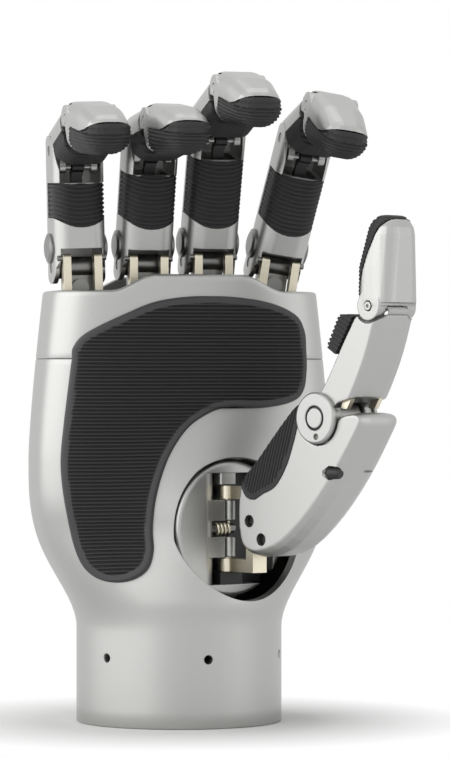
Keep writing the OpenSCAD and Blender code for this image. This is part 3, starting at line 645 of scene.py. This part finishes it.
# %% Thumb pads
BALL_EDGE = np.array([[5, 18], [11, 13.6], [13.6, 10], [17, 9.2], [20.3, 10.8], [25.5, 13.2], [29.5, 18.4],
                      [31.9, 23.6], [33.8, 29], [35.2, 34], [34, 42], [20, 45], [6, 34]])
BALL_ZONE = closed_curve(BALL_EDGE, 5)
BALL_PITCH = 1.05
BALL_BORDER = 1.3
BALL_SLOPE = (0.957, -0.29)
STRIP_PITCH = 1.35
STRIP_SLOPE = (0.46, 0.89)
THUMB_TIP_PITCH = 1.1
STRIP = [[49.4, 50.8], [46.1, 52.8], [46.4, 54], [50.4, 61.6], [51.2, 62.2], [55.9, 62.2], [56.2, 61.6]]


def ball_phase(p):
    """Counts the steep ribs across the ball pad."""
    return (BALL_SLOPE[0] * p[:, 1] + BALL_SLOPE[1] * p[:, 2]) / BALL_PITCH


def ball_mask(p):
    """0 on the ball pad's border and 1 on its field."""
    return smooth((line_distance(p[:, 1:], BALL_ZONE) - BALL_BORDER) / 0.4)


strip_mesh = mesh_mm("strip", *prism(THUMB_PLACE, STRIP, -8.45, 8.45))
ribbed_pad("thumb_first_pad", "thumb_proximal_pad", "thumb_proximal", THUMB_PLACE,
           lambda p: (STRIP_SLOPE[1] * p[:, 2] + STRIP_SLOPE[0] * p[:, 1]) / STRIP_PITCH, 0.45, 0.24, 0.7,
           source=strip_mesh)
ribbed_pad("thumb_tip_pad", "thumb_distal_pad", "thumb_distal", THUMB_PLACE,
           lambda p: p[:, 2] / THUMB_TIP_PITCH, 0.2, 0.26)

# %% [markdown]
# ## Cast metal shells
# The tip domes and the thumb's shells are castings with soft edges. Their solids are remeshed and softened, so that
# the edges roll over as tumbled castings do. Where a pad is let into a casting, the same outline cuts the casting
# and keeps what it cut as rubber.


# %% Castings
INSET = 0.2  # the softened skin lies this far inside the solid, so that its filled corners stay clear at every pose


def casting(name, nodes, body, at, cutters=(), inlay=None, voxel=0.28, passes=5):
    """A softened casting. inlay is (name, zone, phase, depth, mask) for rubber let into it."""
    mesh = even(plain_mesh(name, *(frame["nodes"][node].data for node in nodes)), voxel, passes)
    mesh = cut(keep_largest(mesh), cutters)
    if inlay:
        pad_name, zone, phase, depth, mask = inlay
        rubber_part = cut(mesh.copy(), [zone], "INTERSECT")
        press_ribs(rubber_part, at, phase, depth, 0.7, mask)
        finish_mesh(pad_name, rubber_part, body, "rubber_pad", nodes, 50)
        mesh = cut(mesh, [zone])
    press_ribs(mesh, at, lambda p: 0 * p[:, 0], INSET, 1.0)
    return finish_mesh(name, mesh, body, "anodised_shell", nodes, 45)


# %% Fingertip domes
TIP_ZONE = [[-20, 15], [-20, 40], [3.5, 40], [2.2, 26], [0.2, 23.5], [-1.8, 20], [-2.8, 15]]
for finger in FINGERS:
    at = PLACES[finger]["distal"]
    casting(finger + "_tip_dome", [finger + "_distal_shell"], finger + "_distal", at,
            inlay=(finger + "_tip_inlay", prism(at, TIP_ZONE, -12, 12), tip_phase, 0.45, None))

# %% [markdown]
# ## The thumb's castings
# The base casting has a slot in its crease, a nick in its back and two wells, so its cutters are turned
# solids and one wedge. Black discs in the wells and a black lining in the slot are painted shade, so that they read
# as deep.

# %% Thumb castings
SLOT_TURN = THUMB_PLACE[0] @ turn("X", 90)
gouge = cylinder((SLOT_TURN, place(THUMB_PLACE, [8.6, 51, 17.2])[0]), [1.2, 1.8, 2.0, 0.8],
                 [0, 0.8, 4.4, 6.6], 32)
nick = prism(THUMB_PLACE, [[50.6, 17.6], [60, 14.5], [60, 19.5]], -10, -2)
WELLS = [(14.9, 2.8), (19.7, -2.4)]
ACROSS = THUMB_PLACE[0] @ turn("Y", 90)
wells = [cylinder((ACROSS, place(THUMB_PLACE, [0, y, z])[0]), [1.65, 1.65], [5.2, 12], 40) for y, z in WELLS]
casting("thumb_base_casting", ["thumb_metacarpal_shell", "thumb_metacarpal_pad"], "thumb_metacarpal", THUMB_PLACE,
        [gouge, nick] + wells,
        ("thumb_ball_inlay", prism(THUMB_PLACE, BALL_ZONE, -12, 12), ball_phase, 0.6, ball_mask))
casting("thumb_first_casting", ["thumb_proximal_shell"], "thumb_proximal", THUMB_PLACE)
tip_gap = prism(THUMB_PLACE, [[66, 60], [82, 60], [82, 65.2], [66, 65.2]], -12, 12)
casting("thumb_tip_dome", ["thumb_distal_shell"], "thumb_distal", THUMB_PLACE, [tip_gap])

# %% Painted shade in the wells and the slot, and the tip pin
# Black discs at the bottom of the wells: painted shade that makes them read as deep
for k, (y, z) in enumerate(WELLS):
    screw = cylinder((ACROSS, place(THUMB_PLACE, [0, y, z])[0]), [1.5, 1.6, 1.6, 1.4], [5.1, 5.2, 6.2, 6.4], 40)
    finish_mesh("thumb_screw_%d" % k, mesh_mm("screw", *screw), "thumb_metacarpal", "black_plastic", [])
# A black lining in the slot in the crease: painted shade that makes the slot read as deep
crease_shade = cylinder((SLOT_TURN, place(THUMB_PLACE, [7.1, 50.4, 17.2])[0]), [1.2, 1.6, 1.8, 0.7],
                 [0, 0.6, 3.8, 5.8], 32)
finish_mesh("thumb_slot_painted_shade", mesh_mm("crease_shade", *crease_shade), "thumb_metacarpal", "black_plastic", [])
TIP_JOINT = (joint_mm("thumb_tip_bend") - THUMB_PLACE[1]) @ THUMB_PLACE[0]
pin = cylinder((ACROSS, place(THUMB_PLACE, [0, TIP_JOINT[1], TIP_JOINT[2]])[0]),
               [0.2, 0.5, 0.5, 1.2, 1.2, 0.5, 0.5, 0.2], [-7.5, -7.5, -8.1, -8.1, 8.1, 8.1, 7.5, 7.5], 40)
finish_mesh("thumb_tip_pin", mesh_mm("pin", *pin), "thumb_proximal", "anodised_shell", [])

# %% [markdown]
# ## The thumb's knuckle caps
# Each cap is a turned disc with a pocket. A black ring lies in the pocket and a bright button on the ring, so
# a thin dark ring shows between them: that black ring is painted shade in the groove. A small spanner hole is drilled
# beside it.

# %% Knuckle caps
KNUCKLE = (joint_mm("thumb_bend") - THUMB_PLACE[1]) @ THUMB_PLACE[0]
CAP_R = 7.4
CAP_FACE = 8.2
for k, side in enumerate((1, -1)):
    spot = place(THUMB_PLACE, [side * CAP_FACE, KNUCKLE[1], KNUCKLE[2]])[0]
    at = (THUMB_PLACE[0] @ turn("Y", 90 * side), spot)
    disc = mesh_mm("cap", *cylinder(at, [CAP_R, CAP_R, CAP_R - 0.2, CAP_R - 0.6, 3.7, 3.5, 3.5],
                                    [-0.1, 0.8, 1.15, 1.4, 1.4, 1.2, 0.5]))
    hole_spot = spot + THUMB_PLACE[0] @ np.array([0, 0.7, -5.3])
    disc = cut(disc, [cylinder((at[0], hole_spot), [0.9, 0.9], [0.2, 3], 32)])
    finish_mesh("thumb_cap_%d" % k, disc, "thumb_proximal", "anodised_shell", ["thumb_caps"])
    # The black ring under the button is painted shade in the cap's groove
    groove_shade = cylinder(at, [3.45, 3.45, 3.3], [0.45, 0.75, 0.8])
    finish_mesh("thumb_cap_washer_%d" % k, mesh_mm("groove_shade", *groove_shade), "thumb_proximal", "black_plastic",
                ["thumb_caps"])
    button = cylinder(at, [2.9, 2.9, 2.7], [0.7, 1.25, 1.45])
    finish_mesh("thumb_cap_button_%d" % k, mesh_mm("button", *button), "thumb_proximal", "anodised_shell",
                ["thumb_caps"])

# %% [markdown]
# ## The turntable under the thumb
# The thumb stands on a disc that turns in the palm. Its slot has one scooped side, two arms that carry the hinge
# barrel and a square post above them; the black plate on its floor is painted shade. A brass-coloured worm runs
# between the arms.

# %% Turntable
SCOOP = [[-9.6, 1], [-9.4, 0], [-7.6, -0.5], [-6.2, -1.5], [-5, -3], [-4.2, -5], [-4, -7], [15.2, -7], [15.2, 1]]
SLOT_HALF = 16.4
ALONG_SLOT = (1, 0, 2)  # an outline in the table's x and z, drawn out along its y
disc_radii = [5.9, 5.9, TABLE_R, TABLE_R, TABLE_R - 0.25, TABLE_R - 0.8, TABLE_R - 1.2]
disc = mesh_mm("disc", *cylinder(TABLE_PLACE, disc_radii, [-9.5, -8, -8, -0.8, -0.3, -0.05, 0], 160))
disc = cut(disc, [prism(TABLE_PLACE, SCOOP, -SLOT_HALF, SLOT_HALF, ALONG_SLOT)])
finish_mesh("turntable_disc", disc, "thumb_base", "anodised_shell", ["thumb_turntable"])
ARM_LOWS, ARM_WIDE = (2.4, -8.4), 6
ARM = [[-9.4, -7], [-9.4, -0.2], [-2.5, -0.2], [-2.1, -0.6], [-2.1, -7]]
for k, low in enumerate(ARM_LOWS):
    finish_mesh("turntable_arm_%d" % k, mesh_mm("arm", *prism(TABLE_PLACE, ARM, low, low + ARM_WIDE, ALONG_SLOT)),
                "thumb_base", "anodised_shell", ["thumb_turntable"])
    spot = place(TABLE_PLACE, [0.3, low, -1.7])[0]
    barrel = cylinder((TABLE_PLACE[0] @ turn("X", -90), spot), [1.5, 1.8, 1.8, 1.5], [0, 0.25, 5.75, 6])
    finish_mesh("turntable_barrel_%d" % k, mesh_mm("barrel", *barrel), "thumb_base", "anodised_shell",
                ["thumb_turntable"])
POST = [[-3.8, -6.9], [-3.8, -0.9], [-3.4, -0.5], [1.6, -0.5], [2, -0.9], [2, -6.9]]
post = mesh_mm("post", *prism(TABLE_PLACE, POST, 13, SLOT_HALF, ALONG_SLOT))
finish_mesh("turntable_post", post, "thumb_base", "anodised_shell", ["thumb_turntable"])
# A black plate over the slot's floor: painted shade that makes the slot read dark
FLOOR = [[-3.9, -6.95], [-3.9, -6.3], [15, -6.3], [15, -6.95]]
slot_shade_plate = mesh_mm("slot_shade_plate", *prism(TABLE_PLACE, FLOOR, 0.1 - SLOT_HALF, SLOT_HALF - 0.1, ALONG_SLOT))
finish_mesh("turntable_painted_shade_plate", slot_shade_plate, "thumb_base", "black_plastic", ["thumb_turntable"])

# %% Worm
WORM_Z, WORM_START, WORM_TURNS, WORM_LEAD = -2.8, -4.4, 4, 1.3
WORM_R, THREAD_R = 1.75, 0.5
turns = np.linspace(0, 2 * WORM_TURNS * math.pi, 48 * WORM_TURNS)
section = np.linspace(0, 2 * math.pi, 12, endpoint=False)
thread = [[(WORM_START + WORM_LEAD * t / (2 * math.pi) + THREAD_R * math.sin(u),
            (WORM_R + THREAD_R * math.cos(u)) * math.cos(t),
            WORM_Z + (WORM_R + THREAD_R * math.cos(u)) * math.sin(t)) for u in section] for t in turns]
points, faces = tube(np.array(thread))
finish_mesh("thumb_worm_thread", mesh_mm("thread", place(TABLE_PLACE, points), faces), "thumb_base",
            "nickel_links", ["thumb_worm"])
shaft = cylinder((TABLE_PLACE[0] @ turn("Y", 90), place(TABLE_PLACE, [0, 0, WORM_Z])[0]), [1.2, 1.4, 1.4, 1.0],
                 [-6.4, -6.2, 2.4, 3])
finish_mesh("thumb_worm_shaft", mesh_mm("shaft", *shaft), "thumb_base", "machined_steel", ["thumb_worm"])

# %% [markdown]
# ## Room, light and camera
# A pale floor that fades to white, a broad soft wall of light at the left, weaker lamps in front, at the right and
# above, and a white surround: the way such products are shown. The camera looks at the palm from a little to its
# left, level with its middle.


# %% Floor and lights
def backdrop_rays(tree):
    """1 for the rays that show the backdrop: those of the camera, of reflections and of clear materials."""
    ray = add(tree, "LightPath")
    seen = ray.outputs["Is Camera Ray"]
    for kind in ("Is Glossy Ray", "Is Transmission Ray"):
        either = add(tree, "Math", {"operation": "MAXIMUM"})
        tree.links.new(seen, either.inputs[0])
        tree.links.new(ray.outputs[kind], either.inputs[1])
        seen = either.outputs["Value"]
    return seen


def floor_paint():
    """Matt pale paint near the hand, where its shadow falls, that fades into the white backdrop further out."""
    material, tree, shader = new_material("pale_floor_paint", "#f4f4f3", 0.0, 0.9)
    where = add(tree, "NewGeometry")
    away = add(tree, "VectorMath", {"operation": "LENGTH"})
    tree.links.new(where.outputs["Position"], away.inputs[0])
    fade = add(tree, "MapRange", {"From Min": 0.04, "From Max": 0.09}, Value=away.outputs["Value"])
    share = add(tree, "Math", {"operation": "MULTIPLY"})
    tree.links.new(backdrop_rays(tree), share.inputs[0])
    tree.links.new(fade.outputs["Result"], share.inputs[1])
    white = add(tree, "Emission", {"Color": linear("#ffffff"), "Strength": 1.0})
    both = add(tree, "MixShader", Fac=share.outputs["Value"])
    tree.links.new(shader.outputs["BSDF"], both.inputs[1])
    tree.links.new(white.outputs["Emission"], both.inputs[2])
    tree.links.new(both.outputs["Shader"], tree.nodes["Material Output"].inputs["Surface"])
    return material


FLOOR_HALF = 3600.0
floor_points = [(-FLOOR_HALF, -FLOOR_HALF, 0), (FLOOR_HALF, -FLOOR_HALF, 0), (FLOOR_HALF, FLOOR_HALF, 0),
                (-FLOOR_HALF, FLOOR_HALF, 0)]
floor_mesh = mesh_mm("floor", floor_points, [(0, 1, 2, 3)])
floor_mesh.materials.append(floor_paint())
floor = bpy.data.objects.new("floor", floor_mesh)
bpy.context.scene.collection.objects.link(floor)


# %% Lamps
def soft_light(name, spot, size, power):
    """A rectangular lamp at a spot, aimed at the middle of the hand; sizes in metres, power in watts."""
    data = bpy.data.lights.new(name, "AREA")
    data.shape = "RECTANGLE"
    data.size, data.size_y = size
    data.energy = power
    light = bpy.data.objects.new(name, data)
    light.location = Vector(spot)
    light.rotation_euler = (Vector(AIM) - Vector(spot)).to_track_quat("-Z", "Y").to_euler()
    bpy.context.scene.collection.objects.link(light)


AIM = (0.0, 0.0, 0.1)
soft_light("left_wall", (-1.0, -0.1, 0.25), (1.8, 1.5), 12.0)
soft_light("front_wall", (0.5, -1.2, 0.2), (0.8, 1.0), 0.3)
soft_light("key", (-0.55, -0.8, 0.65), (0.7, 0.8), 1.2)
soft_light("fill", (0.8, -0.56, 0.2), (0.5, 0.9), 1.0)
soft_light("top", (0.05, 0.1, 0.95), (0.7, 0.5), 0.8)

# %% World
world = bpy.data.worlds.new("studio")
bpy.context.scene.world = world
world.use_nodes = True
sky = world.node_tree
background = sky.nodes["Background"]
background.inputs["Color"].default_value = linear("#ffffff")
strength = add(sky, "MapRange", {"To Min": 0.35, "To Max": 1.0}, Value=backdrop_rays(sky))
sky.links.new(strength.outputs["Result"], background.inputs["Strength"])
bpy.context.scene.view_settings.view_transform = "Standard"

# %% Camera
VIEW_AZIMUTH = 17.0
DISTANCE = 1.1
lens = bpy.data.cameras.new("camera")
lens.lens = 175.5
lens.sensor_width = 36.0
lens.clip_end = 20.0
camera = bpy.data.objects.new("camera", lens)
sight = math.radians(VIEW_AZIMUTH)
camera.location = (0.0131 - DISTANCE * math.sin(sight), -0.0040 - DISTANCE * math.cos(sight), 0.1016)
camera.rotation_euler = (math.pi / 2, 0.0, -sight)
bpy.context.scene.collection.objects.link(camera)
bpy.context.scene.camera = camera
print("camera at", tuple(round(v, 3) for v in camera.location))
